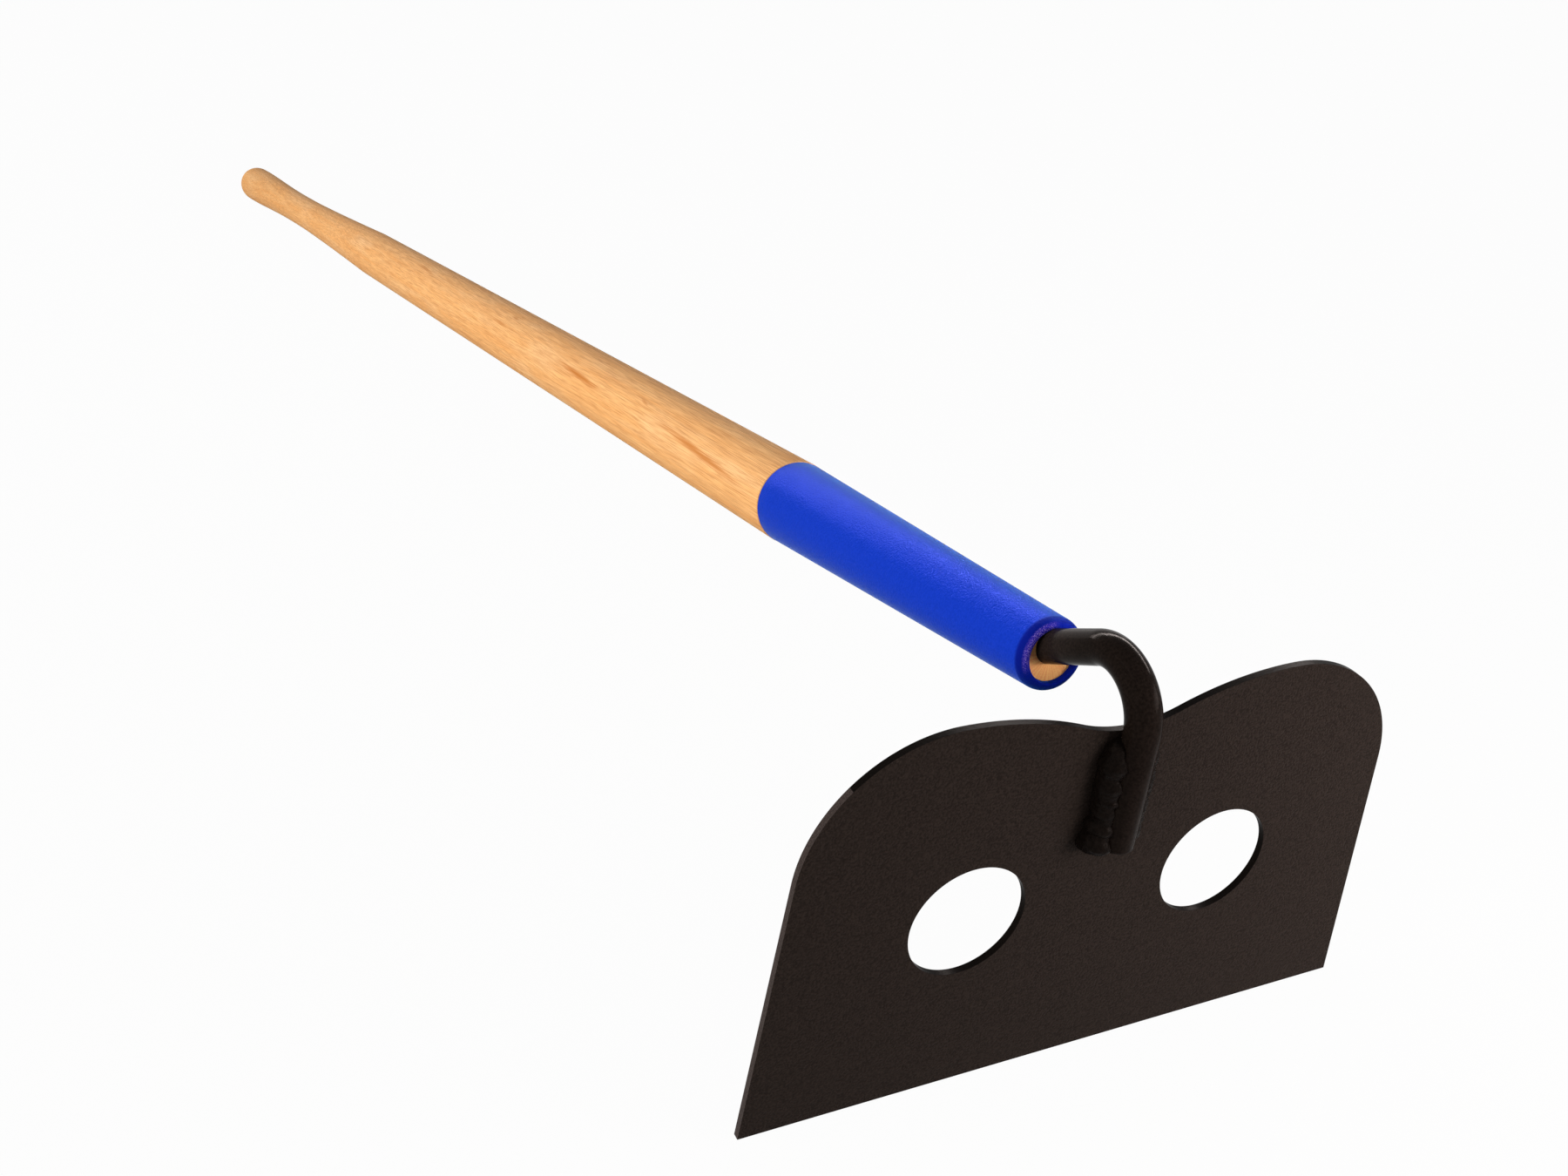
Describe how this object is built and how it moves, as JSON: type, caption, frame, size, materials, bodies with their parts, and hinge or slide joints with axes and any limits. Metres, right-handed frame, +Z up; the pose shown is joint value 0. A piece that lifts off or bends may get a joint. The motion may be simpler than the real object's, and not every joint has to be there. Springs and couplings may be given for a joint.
{
  "type": "cement hoe",
  "caption": "Long-handled cement mixing hoe: flat lobed steel blade with round flow holes, bent bar neck welded on, tapered blue ferrule and turned wooden handle.",
  "frame": {"origin": "middle of the bounding box at floor level; the hoe lies on its blade's digging edge and the underside of its butt", "axes": "+Z up; +Y along the hoe from the blade towards the handle's butt; +X across the blade, to the right of someone who faces the blade's outer side"},
  "size_m": [0.254, 1.731, 0.1658],
  "materials": {
    "black_paint": "satin brown-black paint with a fine orange-peel skin over sheet steel, bar and weld beads",
    "blue_paint": "deep blue powder coat with a leathery orange-peel skin",
    "ash_wood": "light straight-grained ash, lightly lacquered"
  },
  "bodies": {
    "root": {"blade": "black_paint", "neck": "black_paint", "weld_left": "black_paint", "weld_right": "black_paint", "ferrule": "blue_paint", "handle": "ash_wood"}
  },
  "joints": []
}
